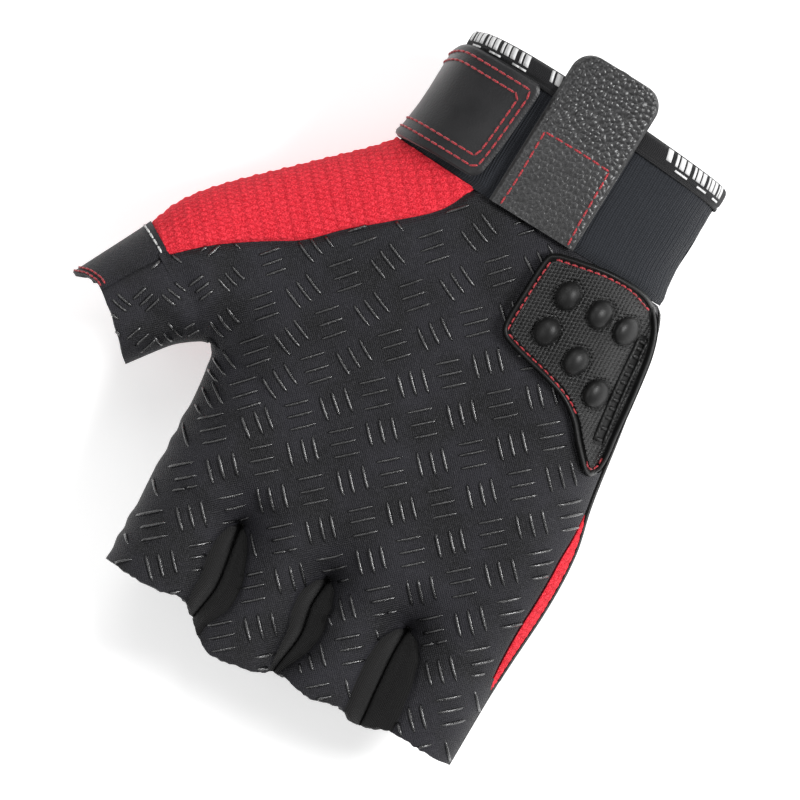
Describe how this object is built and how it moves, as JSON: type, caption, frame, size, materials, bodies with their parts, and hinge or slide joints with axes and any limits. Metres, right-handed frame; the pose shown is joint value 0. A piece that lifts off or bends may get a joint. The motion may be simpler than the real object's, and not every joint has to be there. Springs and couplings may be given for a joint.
{
  "type": "half-finger riding glove",
  "caption": "Right-hand half-finger riding glove with mesh thumb panel, moulded palm-heel slider, knuckle guard, elastic cuff, wrist strap and pull tab.",
  "frame": {"origin": "centre of the knuckle guard's flat rest face, on the plane the glove lies on", "axes": "+Z out of the palm, +Y towards the wrist, +X towards the little finger"},
  "size_m": [0.1439, 0.1762, 0.0504],
  "materials": {
    "embossed_palm": "matt ground with glossy embossed bars",
    "red_mesh": "open air mesh",
    "black_knit": "fine stretch knit",
    "cuff_elastic": "ribbed elastic knit",
    "smooth_leather": "smooth, semi-matt",
    "grain_leather": "pebbled grain",
    "moulded_rubber": "fine diamond texture",
    "guard_shell": "satin",
    "foam": "closed-cell foam",
    "binding_tape": "woven tape",
    "red_thread": "twisted thread",
    "hook_loop": "hook and loop pile"
  },
  "bodies": {
    "hand": {"palm_panel": "embossed_palm", "back_panel": "black_knit", "side_mesh_strip": "red_mesh", "thumb_mesh_panel": "red_mesh", "cuff_palm_knit": "cuff_elastic", "cuff_back_knit": "cuff_elastic", "wrist_elastic": "hook_loop", "cuff_top_binding": "binding_tape", "cuff_slit_binding": "binding_tape", "strap_anchor": "smooth_leather", "loop_patch": "hook_loop", "pull_tab_base": "grain_leather", "tab_stitch": "red_thread", "palm_slider": "moulded_rubber", "slider_foam": "foam", "slider_stitch": "red_thread", "knuckle_guard": "guard_shell", "knuckle_foam": "foam"},
    "index": {"index_palm_side": "embossed_palm", "index_back": "black_knit", "index_outer_side": "embossed_palm", "index_gusset": "black_knit"},
    "middle": {"middle_palm_side": "embossed_palm", "middle_back": "black_knit", "middle_index_gusset": "black_knit", "middle_ring_gusset": "black_knit"},
    "ring": {"ring_palm_side": "embossed_palm", "ring_back": "black_knit", "ring_middle_gusset": "black_knit", "ring_little_gusset": "black_knit"},
    "little": {"little_palm_side": "embossed_palm", "little_back": "black_knit", "little_gusset": "black_knit", "little_mesh_side": "red_mesh"},
    "thumb": {"thumb_palm_side": "embossed_palm", "thumb_end_band": "smooth_leather", "thumb_back": "black_knit", "thumb_inner_gusset": "embossed_palm"},
    "strap": {"strap_flap": "smooth_leather", "hook_patch": "hook_loop", "strap_stitch_outer": "red_thread", "strap_stitch_inner": "red_thread"},
    "pull_tab": {"pull_tab_free": "grain_leather"}
  },
  "joints": [
    {"name": "index_flex", "type": "hinge", "parent": "hand", "child": "index", "pos_m": [0, -0.00975, 0.037], "axis": [-1, 0, 0], "range_deg": [0, 75]},
    {"name": "middle_flex", "type": "hinge", "parent": "hand", "child": "middle", "pos_m": [0, -0.00975, 0.037], "axis": [-1, 0, 0], "range_deg": [0, 75]},
    {"name": "ring_flex", "type": "hinge", "parent": "hand", "child": "ring", "pos_m": [0, -0.00975, 0.037], "axis": [-1, 0, 0], "range_deg": [0, 75]},
    {"name": "little_flex", "type": "hinge", "parent": "hand", "child": "little", "pos_m": [0, -0.00975, 0.037], "axis": [-1, 0, 0], "range_deg": [0, 75]},
    {"name": "thumb_flex", "type": "hinge", "parent": "hand", "child": "thumb", "pos_m": [-0.0553, 0.0242, 0.043], "axis": [-0.8772, 0.4801, 0], "range_deg": [0, 45]},
    {"name": "strap_open", "type": "hinge", "parent": "hand", "child": "strap", "pos_m": [-0.0465, 0.108, 0.0145], "axis": [0, -1, 0], "range_deg": [0, 120]},
    {"name": "pull_tab_fold", "type": "hinge", "parent": "hand", "child": "pull_tab", "pos_m": [-0.003, 0.112, 0.05], "axis": [1, 0, 0], "range_deg": [0, 100]}
  ]
}
